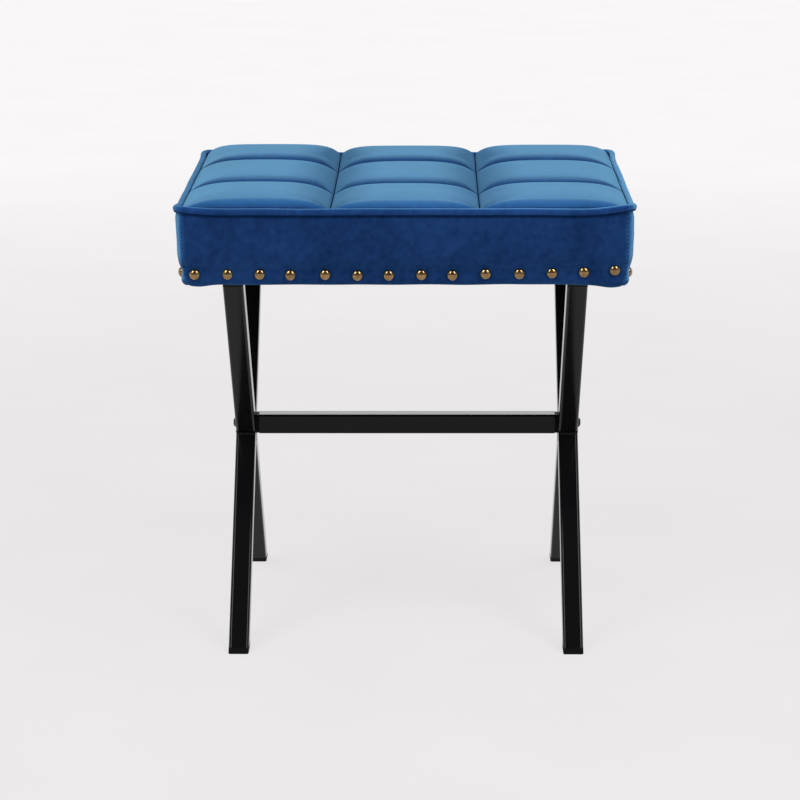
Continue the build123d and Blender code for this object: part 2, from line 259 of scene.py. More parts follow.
# Stretcher: the same square tube between the two crossings, coated like them.
# A moulded plug in each end is clamped against the X-frame by a bolt from outside.
stretcher_low, stretcher_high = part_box("stretcher_tube")
stretcher_middle = (stretcher_low + stretcher_high) / 2
shape = square_tube(stretcher_high.x - stretcher_low.x, tube_radius)
bmesh.ops.rotate(shape, cent=(0, 0, 0), matrix=Matrix.Rotation(math.pi / 2, 3, "Y"), verts=shape.verts)
bmesh.ops.translate(shape, vec=stretcher_middle, verts=shape.verts)
keep_flats(piece_of(shape, "stretcher_tube_coated", powder_coat, "frame_black", "stretcher_tube"))
for side_name in sides:
    dress(f"{side_name}_stretcher_plug", moulded_plastic)

# Stretcher bolts: black oxide button-head screws with a hexagon socket.
# They pass through the crossings and screw into the stretcher's plugs.
black_oxide, shader, place = surface("black_oxide", {
    "Base Color": (0.02, 0.02, 0.022, 1.0), "Metallic": 0.7})
handling = grain(black_oxide, place, scale=350, detail=3.0)
rubbed = spread(black_oxide, handling, given=(0.3, 0.7), wanted=(0.3, 0.45))
feed(black_oxide, shader, "Roughness", rubbed)
dress("stretcher_bolts", black_oxide)

# Seat fasteners: zinc-plated bolts and washers under the mounting bars, and tee nuts
# driven into the board from above before the foam goes on.
zinc_plate, shader, place = surface("zinc_plate", {"Metallic": 1.0})
spangle = grain(zinc_plate, place, scale=420)
zinc_tones = [(0.3, (0.42, 0.43, 0.45)), (0.7, (0.62, 0.63, 0.64))]
feed(zinc_plate, shader, "Base Color", shades(zinc_plate, spangle, zinc_tones))
clouded = spread(zinc_plate, spangle, given=(0.3, 0.7), wanted=(0.28, 0.42))
feed(zinc_plate, shader, "Roughness", clouded)
for node_name in ("seat_bolts", "seat_washers", "tee_nuts"):
    dress(node_name, zinc_plate)

# Base board: birch plywood, with its grain along the seat and its plies showing at the edge.
# It is drilled for the tee nuts and the nails, and its lower edge is rounded for the velvet.
plywood, shader, place = surface("birch_plywood", {"Roughness": 0.62, "Specular IOR Level": 0.3})
along_grain = node(plywood, "ShaderNodeMapping", {"Vector": place, "Scale": (1.5, 26.0, 26.0)})
figure = grain(plywood, along_grain.outputs["Vector"], scale=6.0, detail=5.0, distortion=0.8)
wood_tones = [(0.32, (0.42, 0.28, 0.15)), (0.55, (0.60, 0.43, 0.25)), (0.75, (0.68, 0.52, 0.33))]
feed(plywood, shader, "Base Color", shades(plywood, figure, wood_tones))
plies = node(plywood, "ShaderNodeTexWave", {"Vector": place, "Scale": 55.0, "Distortion": 0.3},
             bands_direction="Z").outputs["Fac"]
feed(plywood, shader, "Normal", relief(plywood, plies, distance=0.0002, strength=0.5))
dress("base_board", plywood)

# Foam block: grey upholstery foam, cut from sheet and glued to the board.
# Its edges are pulled round by the cover.
foam_low, foam_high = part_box("foam_block")
foam_edge_radius = 0.008
seat_foam, shader, place = surface("upholstery_foam", {"Roughness": 0.95, "Specular IOR Level": 0.1})
cells = node(seat_foam, "ShaderNodeTexVoronoi", {"Vector": place, "Scale": 900.0}).outputs["Distance"]
foam_tones = [(0.1, (0.30, 0.31, 0.33)), (0.6, (0.52, 0.53, 0.55))]
feed(seat_foam, shader, "Base Color", shades(seat_foam, cells, foam_tones))
feed(seat_foam, shader, "Normal", relief(seat_foam, cells, distance=0.0005))

shape = bmesh.new()
bmesh.ops.create_cube(shape, size=1.0)
bmesh.ops.scale(shape, vec=foam_high - foam_low, verts=shape.verts)
bmesh.ops.translate(shape, vec=(foam_low + foam_high) / 2, verts=shape.verts)
round_above = foam_high.z - foam_edge_radius
cut_edges = [edge for edge in shape.edges if max(vert.co.z for vert in edge.verts) > round_above]
bmesh.ops.bevel(shape, geom=cut_edges, offset=foam_edge_radius, segments=5, profile=0.5,
                affect="EDGES", material=-1)
foam = piece_of(shape, "foam_block_cut", seat_foam, "seat_foam", "foam_block")
keep_flats(foam)

# Quilted top: blue velvet over wadding, sewn through in squares, with the front and back rows
# cut short. The seams are drawn down into tight creases and the squares swell between them;
# the edge is caught in the piping seam.
quilt_low, quilt_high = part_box("quilted_top")
quilt_size = quilt_high - quilt_low
quilt_count = 3
quilt_steps = 34
quilt_crowding = 0.75
column_fullness = 2.8
back_fullness = 5.5
back_start = 0.3
row_fullness = 5.0
border_fullness = 3.6
quilt_squareness = 3.0
quilt_corner_radius = 0.009
square_side = quilt_size.x / quilt_count
column_edges = (-quilt_size.x / 2, -square_side / 2, square_side / 2, quilt_size.x / 2)
row_edges = (-quilt_size.y / 2, -square_side / 2, square_side / 2, quilt_size.y / 2)
seam_depth = 0.0230
border_depth = 0.0195
seam_lift = 0.0012
stitch_pull = 0.0030
border_pull = 0.0030
wadding_pressure = 4.0
stuffing_reach = 0.0035
stuffing_frames = 20
crown_drops = (0.0, 0.0020, 0.0010)
row_drops = (0.0030, 0.0016, 0.0016)
tolerance = 1e-6
# Painted sheen: paler blue added to the velvet's colour along the facing, from looked straight into to
# looked along.
painted_sheen_stops = [(0.08, (0.0, 0.0, 0.0)), (0.27, (0.013, 0.060, 0.138)), (0.36, (0.025, 0.084, 0.164)),
                (0.45, (0.066, 0.157, 0.228)), (0.85, (0.074, 0.168, 0.238))]
velvet_tones = [(0.36, (0.0039, 0.0172, 0.068)), (0.50, (0.0068, 0.0270, 0.099)),
                (0.64, (0.0100, 0.0373, 0.131))]
# Where the painted sheen is taken off, as painted shade on slopes turned down, sideways or into the row
# seams: slopes are parts of the normal, reaches are in metres.
under_slope = (-0.40, -0.05)
front_slope = (-0.3, 0.3)
middle_reach = (0.12, 0.20)
side_slope = (0.06, 0.50)
seam_shade_reach = (0.010, 0.024)
seam_shade_slope = (-0.32, -0.10)
shaded_sheen_share = 0.25


def reckon(material, operation, *values):
    """The result of one step of arithmetic on one or two values."""
    return node(material, "ShaderNodeMath", dict(enumerate(values)), operation=operation).outputs["Value"]


def product(material, *values):
    """Values multiplied together."""
    result = values[0]
    for value in values[1:]:
        result = reckon(material, "MULTIPLY", result, value)
    return result


def size_of(material, value, start=0.0):
    """How far a value is from the start, either way."""
    return reckon(material, "ABSOLUTE", reckon(material, "SUBTRACT", value, start))


def mixed(material, first, second, share):
    """The first value with a share of the second mixed in."""
    return node(material, "ShaderNodeMix", {"Factor": share, "A": first, "B": second}).outputs["Result"]


def velvet(name, sheen, sheen_sides, ground):
    """Blue velvet: short dense pile that is dark looked straight into, with a painted sheen, a paler blue
    added to its colour, that makes it pale along its surface.

    The painted sheen is taken off faces turned down, off sideways slopes in the middle of the top and off
    forward slopes by the row seams, which is painted shade. The sheen sides are how much of the painted
    sheen shows at the left and at the right of the seat, and the ground is how light the pile is looked
    straight into.
    """
    material, shader, place = surface(name, {
        "Roughness": 0.8, "Specular IOR Level": 0.0,
        "Sheen Weight": sheen, "Sheen Roughness": 0.42, "Sheen Tint": (0.27, 0.71, 1.0, 1.0)})
    nap = grain(material, place, scale=13, detail=4.0, distortion=0.7)
    stroked = grain(material, place, scale=150, detail=3.0)
    pile = grain(material, place, scale=1500)
    worn = mixed(material, nap, stroked, share=0.40)
    worn = mixed(material, worn, pile, share=0.15)
    tones = [(stop, tuple(ground * part for part in tone)) for stop, tone in velvet_tones]
    # Painted sheen in the colour: a paler blue that grows as the surface is seen more along it.
    leaning = node(material, "ShaderNodeLayerWeight", {"Blend": 0.5}).outputs["Facing"]
    painted_sheen = shades(material, leaning, painted_sheen_stops)
    spot = node(material, "ShaderNodeSeparateXYZ", {"Vector": place}).outputs
    normal = node(material, "ShaderNodeNewGeometry").outputs["Normal"]
    slope = node(material, "ShaderNodeSeparateXYZ", {"Vector": normal}).outputs
    # Where the painted sheen shows: as the sheen sides give from left to right, and not on faces turned
    # down, sideways slopes or forward slopes by the row seams, which is painted shade.
    lit = spread(material, spot["X"], given=(-quilt_size.x / 2, quilt_size.x / 2), wanted=sheen_sides)
    sheen_share = spread(material, slope["Z"], given=under_slope, wanted=(0.0, 1.0))
    aside = product(
        material, size_of(material, slope["X"]),
        spread(material, slope["Z"], given=(0.0, 1.0), wanted=(0.0, 1.0)),
        spread(material, slope["Y"], given=front_slope, wanted=(2.0, 0.0)),
        spread(material, size_of(material, spot["X"]), given=middle_reach, wanted=(1.0, 0.0)))
    from_seam = size_of(material, size_of(material, spot["Y"]), square_side / 2)
    seam_shade = product(
        material, spread(material, from_seam, given=seam_shade_reach, wanted=(1.0, 0.0)),
        spread(material, slope["Y"], given=seam_shade_slope, wanted=(1.0, 0.0)))
    sheen_share = product(
        material, sheen_share,
        spread(material, aside, given=side_slope, wanted=(1.0, shaded_sheen_share)),
        spread(material, seam_shade, given=(0.0, 1.0), wanted=(1.0, shaded_sheen_share)))
    sheen_mix = {0: product(material, lit, sheen_share), 6: shades(material, worn, tones), 7: painted_sheen}
    color = node(material, "ShaderNodeMix", sheen_mix, data_type="RGBA", blend_type="ADD").outputs[2]
    feed(material, shader, "Base Color", color)
    feed(material, shader, "Normal", relief(material, pile, distance=0.0004, strength=0.45))
    return material


blue_velvet = velvet("blue_velvet", sheen=0.35, sheen_sides=(1.0, 1.0), ground=1.06)


def limited(value):
    """A value kept between 0 and 1."""
    return min(max(value, 0), 1)


def crowd(share):
    """Move a share of a square's width towards its seams, where the creases need more points."""
    return share - quilt_crowding * math.sin(2 * math.pi * share) / (2 * math.pi)


def swell(share, flatness):
    """Fullness across a square: 0 at its seams and 1 in the middle, flatter the higher the flatness."""
    return 1 - abs(2 * share - 1) ** flatness


def fullness_of(across, along):
    """Fullness at a point of a square, ruled softly by the lower of its fullness each way."""
    if min(across, along) <= 0:
        return 0.0
    mean = (across ** -quilt_squareness + along ** -quilt_squareness) / 2
    return mean ** (-1 / quilt_squareness)


def square_share(position):
    """Which square a position from 0 to 1 over the whole top falls in, and the share across it."""
    index = min(int(position * quilt_count + tolerance), quilt_count - 1)
    return index, crowd(limited(position * quilt_count - index))


def between(edges, index, share):
    """Place a share of the way across one square, between the lines it is sewn along."""
    return edges[index] + (edges[index + 1] - edges[index]) * share


def edge_level(index, share):
    """Depth under the crown of the sewn lines at the two ends of a square, blended across it."""
    first = border_depth if index == 0 else seam_depth
    last = border_depth if index == quilt_count - 1 else seam_depth
    return first + (last - first) * share


def round_corner(x, y):
    """Draw the square corners of the top in to a round."""
    inner_x = quilt_size.x / 2 - quilt_corner_radius
    inner_y = quilt_size.y / 2 - quilt_corner_radius
    across = (abs(x) - inner_x) / quilt_corner_radius
    along = (abs(y) - inner_y) / quilt_corner_radius
    if across <= 0 or along <= 0:
        return x, y
    return (math.copysign(inner_x + quilt_corner_radius * across * math.sqrt(1 - along ** 2 / 2), x),
            math.copysign(inner_y + quilt_corner_radius * along * math.sqrt(1 - across ** 2 / 2), y))


shape = bmesh.new()
quilt_points = quilt_count * quilt_steps
bmesh.ops.create_grid(shape, x_segments=quilt_points, y_segments=quilt_points, size=0.5)
sewn = shape.verts.layers.deform.verify()
for vert in shape.verts:
    column, column_share = square_share(vert.co.x + 0.5)
    row, row_share = square_share(vert.co.y + 0.5)
    back_row = row == quilt_count - 1
    to_border = row_share < 0.5 if row == 0 else back_row and row_share > 0.5
    to_back = max(row_share - back_start, 0) / (1 - back_start) if back_row else 0
    across = swell(column_share, column_fullness + (back_fullness - column_fullness) * to_back)
    along = swell(row_share, border_fullness if to_border else row_fullness)
    fullness = fullness_of(across, along)
    base = min(edge_level(column, column_share), edge_level(row, row_share))
    depth = base - seam_lift * max(across, along)
    lowered = crown_drops[column] + row_drops[row]
    vert[sewn][0] = 1.0 if fullness < tolerance else 0.0
    x, y = round_corner(between(column_edges, column, column_share), between(row_edges, row, row_share))
    vert.co = (x, y, quilt_high.z - depth * (1 - fullness) - lowered * fullness)
quilt = piece_of(shape, "quilted_top_sewn", blue_velvet, "blue_velvet", "quilted_top")
quilt.vertex_groups.new(name="sewn")


def stuff(piece, pinned, pressure, reach):
    """Let the wadding push a cover out from its pinned seams, no point further than the reach."""
    cloth = piece.modifiers.new("wadding", "CLOTH")
    settings = cloth.settings
    settings.quality = 6
    settings.mass = 0.25
    settings.tension_stiffness = 18
    settings.compression_stiffness = 18
    settings.shear_stiffness = 8
    settings.bending_stiffness = 0.4
    settings.vertex_group_mass = pinned
    settings.use_pressure = True
    settings.uniform_pressure_force = pressure
    settings.effector_weights.gravity = 0
    cloth.collision_settings.use_collision = False
    cloth.point_cache.frame_end = stuffing_frames
    for number in range(1, stuffing_frames + 1):
        bpy.context.scene.frame_set(number)
    swollen = bpy.data.meshes.new_from_object(piece.evaluated_get(bpy.context.evaluated_depsgraph_get()))
    for vert, moved in zip(piece.data.vertices, swollen.vertices):
        step = moved.co - vert.co
        if step.length > reach:
            step *= reach / step.length
        vert.co += step
    bpy.data.meshes.remove(swollen)
    piece.modifiers.remove(cloth)
    bpy.context.scene.frame_set(1)


stuff(quilt, "sewn", wadding_pressure, stuffing_reach)

shape = bmesh.new()
shape.from_mesh(quilt.data)
crease = shape.edges.layers.float.new("crease_edge")
sewn = shape.verts.layers.deform.active
pinned = {vert for vert in shape.verts if vert[sewn].get(0, 0.0) > 0.5}
for edge in shape.edges:
    if pinned.issuperset(edge.verts) and not edge.is_boundary:
        edge[crease] = 1.0
for vert in pinned:
    vert.co.z -= border_pull if vert.is_boundary else stitch_pull
underside = bmesh.ops.duplicate(shape, geom=shape.verts[:] + shape.edges[:] + shape.faces[:])["geom"]
for item in underside:
    if isinstance(item, bmesh.types.BMVert):
        item.co.z = quilt_low.z
    if isinstance(item, bmesh.types.BMEdge):
        item[crease] = 0.0
bmesh.ops.bridge_loops(shape, edges=[edge for edge in shape.edges if edge.is_boundary])
bmesh.ops.recalc_face_normals(shape, faces=shape.faces)
shape.to_mesh(quilt.data)
shape.free()
quilt.data.shade_smooth()
rounding = quilt.modifiers.new("soft surface", "SUBSURF")
rounding.levels = 1
rounding.render_levels = 1

# Piping: a cord covered in the same velvet, sewn in between the top and the boxing.
# It runs once round the seat and stands up in a small ear where it turns each corner.
piping_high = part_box("piping")[1]
seat_half = Vector((piping_high.x, piping_high.y))
seat_corner_radius = 0.016
least_corner_radius = 0.0008
piping_radius = 0.0033
piping_half_height = 0.0038
piping_level = piping_high.z - piping_half_height
piping_ear_rises = (0.0026, 0.0044, 0.0030, 0.0030)
piping_ear_reaches = (0.0024, 0.0010, 0.0012, 0.0012)
piping_ear_length = 0.026
piping_steps = 260
piping_rounds = 18
piping_wander = 0.0006
wander_features = 11
wander_start = Vector((3, 0, 0))
piping_wave = 0.0007
wave_features = 14
piping_plumpness = 0.06
plump_features = 45
quarter_turns = {"front": 0, "right": 1, "back": 2, "left": 3}
side_count = len(quarter_turns)
merge_distance = 1e-5


def side_turn(turns):
    """Turn from the front of the seat to the side that is this many quarter turns round."""
    return Matrix.Rotation(turns * math.pi / 2, 3, "Z")


def half_sizes(turns):
    """Half the length of a side of the seat, and half the seat's size across it."""
    return (seat_half.x, seat_half.y) if turns % 2 == 0 else (seat_half.y, seat_half.x)


def bell(distance, width):
    """1 at no distance, and falling smoothly to nothing past the width."""
    return math.exp(-(distance / width) ** 2)


def seat_edge(side_name, share, inset):
    """Place, outward direction and distance from the corner on one side of the seat's outline.

    The share runs from the middle of one corner, -1, to the middle of the next, 1.
    """
    turns = quarter_turns[side_name]
    half_length, half_width = half_sizes(turns)
    arc = seat_corner_radius * math.pi / 4
    straight = half_length - seat_corner_radius
    arc_share = arc / (straight + arc)
    radius = max(seat_corner_radius - inset, least_corner_radius)
    run = half_length - inset - radius
    out = half_width - inset - radius
    if abs(share) <= 1 - arc_share:
        turn = 0.0
        along = abs(share) / (1 - arc_share) * run
    else:
        turn = (abs(share) - 1 + arc_share) / arc_share * math.pi / 4
        along = run + radius * math.sin(turn)
    place = Vector((math.copysign(along, share), -out - radius * math.cos(turn), 0))
    outward = Vector((math.copysign(math.sin(turn), share), -math.cos(turn), 0))
    spin = side_turn(turns)
    return spin @ place, spin @ outward, (1 - abs(share)) * (straight + arc)


def ear_of(side_name, share, from_corner):
    """How far the piping stands up and out towards the nearer corner, from the front left one on round."""
    corner = (quarter_turns[side_name] + (share > 0)) % side_count
    near = bell(max(from_corner, 0), piping_ear_length)
    return piping_ear_rises[corner] * near, piping_ear_reaches[corner] * near


def piping_middle(side_name, share):
    """Middle of the piping at a share of one side, and the direction out of the seat there."""
    place, outward, from_corner = seat_edge(side_name, share, piping_radius)
    rise, reach = ear_of(side_name, share, from_corner)
    wander = piping_wander * noise.noise(place * wander_features + wander_start)
    height = piping_level + rise + piping_wave * noise.noise(place * wave_features)
    return place + outward * (reach + wander) + Vector((0, 0, height)), outward


# The piping's velvet is a lighter copy of the seat's, painted light that makes up for the shade it sits in,
# and its painted sheen shows less at the left than at the right.
piping_velvet_lightened = velvet("piping_velvet_lightened", sheen=0.4, sheen_sides=(0.4, 1.0), ground=1.5)
shape = bmesh.new()
bmesh.ops.create_grid(shape, x_segments=side_count * piping_steps, y_segments=piping_rounds, size=0.5)
for vert in shape.verts:
    lap = (vert.co.x + 0.5) * side_count
    turns = min(int(lap + tolerance), side_count - 1)
    side_name = list(quarter_turns)[turns]
    angle = (vert.co.y + 0.5) * 2 * math.pi
    share = (lap - turns) * 2 - 1
    center, outward = piping_middle(side_name, share)
    plump = 1 + piping_plumpness * noise.noise(center * plump_features)
    side_reach = outward * piping_radius * plump * math.cos(angle)
    vert.co = center + side_reach + Vector((0, 0, piping_half_height * plump * math.sin(angle)))
bmesh.ops.remove_doubles(shape, verts=shape.verts, dist=merge_distance)
bmesh.ops.recalc_face_normals(shape, faces=shape.faces)
piping = piece_of(shape, "piping_sewn", piping_velvet_lightened, "blue_velvet", "piping")

# Boxing: four panels of velvet that stand round the foam, seamed at the corners.
# Each is sewn to the piping, pulled down over the board, nailed, and turned under its edge.
boxing_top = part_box("front_boxing")[1].z
nail_low, nail_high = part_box("front_nails")
nail_level = (nail_low.z + nail_high.z) / 2
band_above_nails = 0.0076
band_below_nails = 0.0046
band_top = nail_level + band_above_nails
band_bottom = nail_level - band_below_nails
edge_radius = 0.006
hem_depth = 0.022
bulge_inset = 0.0019
upper_bulge_power = 8
lower_bulge_power = 3
seam_inset = 0.0050
seam_allowance = 0.0065
band_inset = 0.006
band_step_share = 1 / 3
cover_depth = seam_allowance + boxing_top - band_bottom + edge_radius * math.pi / 2 + hem_depth
cover_thickness = 0.0014
panel_density = 1300
panel_rows = 72
outside_fade = 0.006
cover_wave = 0.0007
cover_wave_features = 19
pucker_height = 0.0006
pucker_reach = 0.016
pucker_features = 90
crease_wander = 0.0016
crease_wander_features = 24
crease_depth = 0.0005
crease_variation = 0.0007
crease_depth_features = 12
crease_width = 0.0014
hem_fade = 0.012
hem_wave = 0.0011
hem_wave_features = 17
ear_lift_power = 2
ear_push_power = 4
corner_droop = 0.0026
corner_droop_place = 0.021
corner_droop_width = 0.014
edge_sag = 0.0009
edge_sag_inset = 0.011
edge_sag_width = 0.005
nail_dimple = 0.0014
nail_dimple_radius = 0.0082
nail_dimple_end = 3 * nail_dimple_radius
board_inset = 0.0074
nail_counts = {"front": 14, "right": 12, "back": 14, "left": 12}
nail_rise = 0.0042
nail_rise_start = 0.3
nail_stray_along = 0.0014
nail_stray_up = 0.0007
nail_place_seed = 5


def nail_drift(side_name, share):
    """How far the row of nails climbs along a side, as it does to the right of the front."""
    if side_name != "front":
        return 0.0
    return max(share - nail_rise_start, 0) / (1 - nail_rise_start) * nail_rise


def nail_places(side_name):
    """Distance along a side of each nail from its middle, and height, as set by hand."""
    turns = quarter_turns[side_name]
    low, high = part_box(f"{side_name}_nails")
    ends = (low.x, high.x) if turns % 2 == 0 else (low.y, high.y)
    reach = (ends[1] - ends[0]) / 2 - (nail_high.z - nail_low.z) / 2
    count = nail_counts[side_name]
    hand = random.Random(turns + nail_place_seed)
    places = []
    for number in range(count):
        share = 2 * number / (count - 1) - 1
        along = share * reach + hand.uniform(-nail_stray_along, nail_stray_along)
        height = nail_level + nail_drift(side_name, share) + hand.uniform(-nail_stray_up, nail_stray_up)
        places.append((along, height))
    return places


def wall_profile(down):
    """Height and inset of the cover a distance down its outside from the piping seam."""
    wall = boxing_top - band_top
    band = band_top - band_bottom
    roll = edge_radius * math.pi / 2
    down -= seam_allowance
    if down <= 0:
        return boxing_top, seam_inset - down
    if down <= wall:
        way = 2 * down / wall - 1
        lean = abs(way) ** (upper_bulge_power if way < 0 else lower_bulge_power)
        return boxing_top - down, bulge_inset + (seam_inset - bulge_inset) * lean
    if down <= wall + band:
        ease = min((down - wall) / band / band_step_share, 1)
        return boxing_top - down, seam_inset + (band_inset - seam_inset) * ease * ease * (3 - 2 * ease)
    if down <= wall + band + roll:
        turn = (down - wall - band) / edge_radius
        return band_bottom - edge_radius * math.sin(turn), band_inset + edge_radius * (1 - math.cos(turn))
    return band_bottom - edge_radius, band_inset + edge_radius + down - wall - band - roll


def flat_noise(spot, features, layer):
    """Noise from -1 to 1 that is the same at every height, with this many features to the unit."""
    return noise.noise(Vector((spot.x * features, spot.y * features, layer)))


def ear_pull(side_name, share, from_corner, height):
    """How far the piping's ear draws the wall of the cover up and out, most of all at its top."""
    rise, reach = ear_of(side_name, share, from_corner)
    raised = limited((height - band_top) / (boxing_top - band_top))
    return rise * raised ** ear_lift_power, reach * raised ** ear_push_power


def boxing_panel(side_name):
    """One side's cover, shaped over the foam, the board and its nails."""
    turns = quarter_turns[side_name]
    half_length = half_sizes(turns)[0]
    shape = bmesh.new()
    bmesh.ops.create_grid(shape, x_segments=round(half_length * panel_density), y_segments=panel_rows,
                          size=0.5)
    nails = nail_places(side_name)
    for vert in shape.verts:
        share = vert.co.x * 2
        height, inset = wall_profile((0.5 - vert.co.y) * cover_depth)
        spot, outward, from_corner = seat_edge(side_name, share, inset)
        along = (side_turn(-turns) @ spot).x
        sample = Vector((spot.x, spot.y, height))
        outside = limited((height - band_bottom) / outside_fade)
        lift, push = ear_pull(side_name, share, from_corner, height)
        push += cover_wave * noise.noise(sample * cover_wave_features) * outside
        pucker = pucker_height * bell(from_corner, pucker_reach)
        push += pucker * noise.noise(sample * pucker_features) * outside
        crease_level = band_top + crease_wander * flat_noise(spot, crease_wander_features, layer=0)
        crease_level += nail_drift(side_name, along / half_length)
        drawn_in = crease_depth + crease_variation * flat_noise(spot, crease_depth_features, layer=7)
        push -= max(drawn_in, 0) * bell(height - crease_level, crease_width)
        for nail_along, nail_height in nails:
            away = math.hypot(along - nail_along, height - nail_height)
            if away < nail_dimple_end:
                push -= nail_dimple * bell(away, nail_dimple_radius) * outside
        if height > band_bottom:
            push = max(push, inset - board_inset)
        below = limited((band_top - height) / hem_fade)
        droop = corner_droop * bell(from_corner - corner_droop_place, corner_droop_width)
        lift += below * (hem_wave * flat_noise(spot, hem_wave_features, layer=1) - droop)
        turned = limited((band_bottom - height) / edge_radius)
        lift -= edge_sag * turned * bell(inset - edge_sag_inset, edge_sag_width)
        vert.co = spot + outward * push
        vert.co.z = height + lift
    bmesh.ops.recalc_face_normals(shape, faces=shape.faces)
    for edge in shape.edges:
        edge.smooth = not edge.is_boundary
    return shape


for side_name, turns in quarter_turns.items():
    shape = boxing_panel(side_name)
    panel = piece_of(shape, f"{side_name}_boxing_sewn", blue_velvet, "blue_velvet", f"{side_name}_boxing")
    thick = panel.modifiers.new("cloth thickness", "SOLIDIFY")
    thick.thickness = cover_thickness
    thick.offset = -1

# Threads: dark stitches that close the seam down each corner of the boxing, and dark cords laid
# along the quilting, beside the piping and under it, which are painted shade standing in for the shadow in
# those creases.
stitch_pitch = 0.0040
stitch_length = 0.0028
stitch_start = 0.004
stitch_lift = 0.0001
stitch_share = 0.985
thread_radius = 0.00045
# Dark cords of painted shade along the quilting seams, beside the piping and under it.
seam_shade_cord_radius = 0.0017
seam_shade_cord_lift = 0.0005
shade_cord_steps = 8
beside_shade_cord_radius = 0.0019
beside_shade_cord_inset = 1.05 * piping_radius
beside_shade_cord_drop = 0.0010
under_shade_cord_radius = 0.0009
under_shade_cord_reach = 0.42 * piping_radius
under_shade_cord_drop = 0.87 * piping_half_height
# One dark navy material for the real corner stitches and for the cords of painted shade.
thread_and_painted_shade, shader, place = surface("thread_and_painted_shade", {"Roughness": 0.9, "Specular IOR Level": 0.0})
twist = grain(thread_and_painted_shade, place, scale=2000)
thread_and_shade_tones = [(0.3, (0.0030, 0.0140, 0.062)), (0.7, (0.0055, 0.0220, 0.085))]
feed(thread_and_painted_shade, shader, "Base Color", shades(thread_and_painted_shade, twist, thread_and_shade_tones))
stitch_stretch = Matrix.Diagonal((1.0, 1.0, stitch_length / 2 / thread_radius, 1.0))
stitch_count = int((boxing_top - band_bottom - stitch_start) / stitch_pitch)
shape = bmesh.new()
for side_name, share in itertools.product(("front", "back"), (-stitch_share, stitch_share)):
    for number in range(stitch_count):
        height = boxing_top - stitch_start - number * stitch_pitch
        inset = wall_profile(seam_allowance + boxing_top - height)[1]
        spot, outward, from_corner = seat_edge(side_name, share, inset)
        lift, push = ear_pull(side_name, share, from_corner, height)
        spot += outward * (stitch_lift + push)
        spot.z = height + lift
        bmesh.ops.create_uvsphere(shape, u_segments=8, v_segments=6, radius=thread_radius,
                                  matrix=Matrix.Translation(spot) @ stitch_stretch)
piece_of(shape, "corner_stitches", thread_and_painted_shade, "blue_velvet")


def lay_shade_cord(shape, path, radius):
    """Add a dark round cord along a path of points, painted shade standing in for the shadow in a crease."""
    run = bmesh.ops.create_grid(shape, x_segments=len(path) - 1, y_segments=shade_cord_steps, size=0.5)
    for vert in run["verts"]:
        number = round((vert.co.x + 0.5) * (len(path) - 1))
        angle = (vert.co.y + 0.5) * 2 * math.pi
        ahead = path[min(number + 1, len(path) - 1)] - path[max(number - 1, 0)]
        across = ahead.cross(Vector((0, 0, 1))).normalized()
        vert.co = path[number] + across * radius * math.cos(angle) + Vector((0, 0, radius * math.sin(angle)))


# Lay the cords of painted shade along the quilting seams and round the piping.
top_points = [vert.co.copy() for vert in quilt.data.vertices if vert.co.z > quilt_low.z + seam_shade_cord_radius]
shape = bmesh.new()
for axis, edges in ((0, column_edges), (1, row_edges)):
    for edge in edges[1:-1]:
        seam = [point for point in top_points if abs(point[axis] - edge) < merge_distance]
        seam.sort(key=lambda point: point[1 - axis])
        lay_shade_cord(shape, [point + Vector((0, 0, seam_shade_cord_lift)) for point in seam], seam_shade_cord_radius)
shade_beside_piping = []
shade_under_piping = []
for side_name in quarter_turns:
    for number in range(piping_steps):
        middle, outward = piping_middle(side_name, 2 * number / piping_steps - 1)
        shade_beside_piping.append(middle - outward * beside_shade_cord_inset - Vector((0, 0, beside_shade_cord_drop)))
        shade_under_piping.append(middle + outward * under_shade_cord_reach - Vector((0, 0, under_shade_cord_drop)))
for loop, radius in ((shade_beside_piping, beside_shade_cord_radius), (shade_under_piping, under_shade_cord_radius)):
    lay_shade_cord(shape, loop + loop[:1], radius)
bmesh.ops.remove_doubles(shape, verts=shape.verts, dist=merge_distance)
bmesh.ops.recalc_face_normals(shape, faces=shape.faces)
piece_of(shape, "seam_shade_cords", thread_and_painted_shade, "blue_velvet")

# Nails: domed upholstery nails of lacquered brass, tarnished in patches to an antique tone.
# They are driven by hand through the velvet into the edge of the board.
nail_head_radius = 0.0061
nail_head_height = 0.0046
nail_rim = 0.0006
dome_radius = nail_head_radius - nail_rim / 2
dome_steps = 8
dome_crown_share = 0.004
nail_sink = 0.0009
nail_tip = 0.07
nail_tip_seed = 40
antique_brass, shader, place = surface("antique_brass", {
    "Metallic": 1.0, "Coat Weight": 0.8, "Coat Roughness": 0.08})
tarnish = grain(antique_brass, place, scale=260, detail=4.0, distortion=0.4)
brass_tones = [(0.30, (0.19, 0.105, 0.032)), (0.55, (0.30, 0.175, 0.058)), (0.8, (0.43, 0.28, 0.110))]
feed(antique_brass, shader, "Base Color", shades(antique_brass, tarnish, brass_tones))
polish = spread(antique_brass, tarnish, given=(0.3, 0.7), wanted=(0.10, 0.18))
feed(antique_brass, shader, "Roughness", polish)


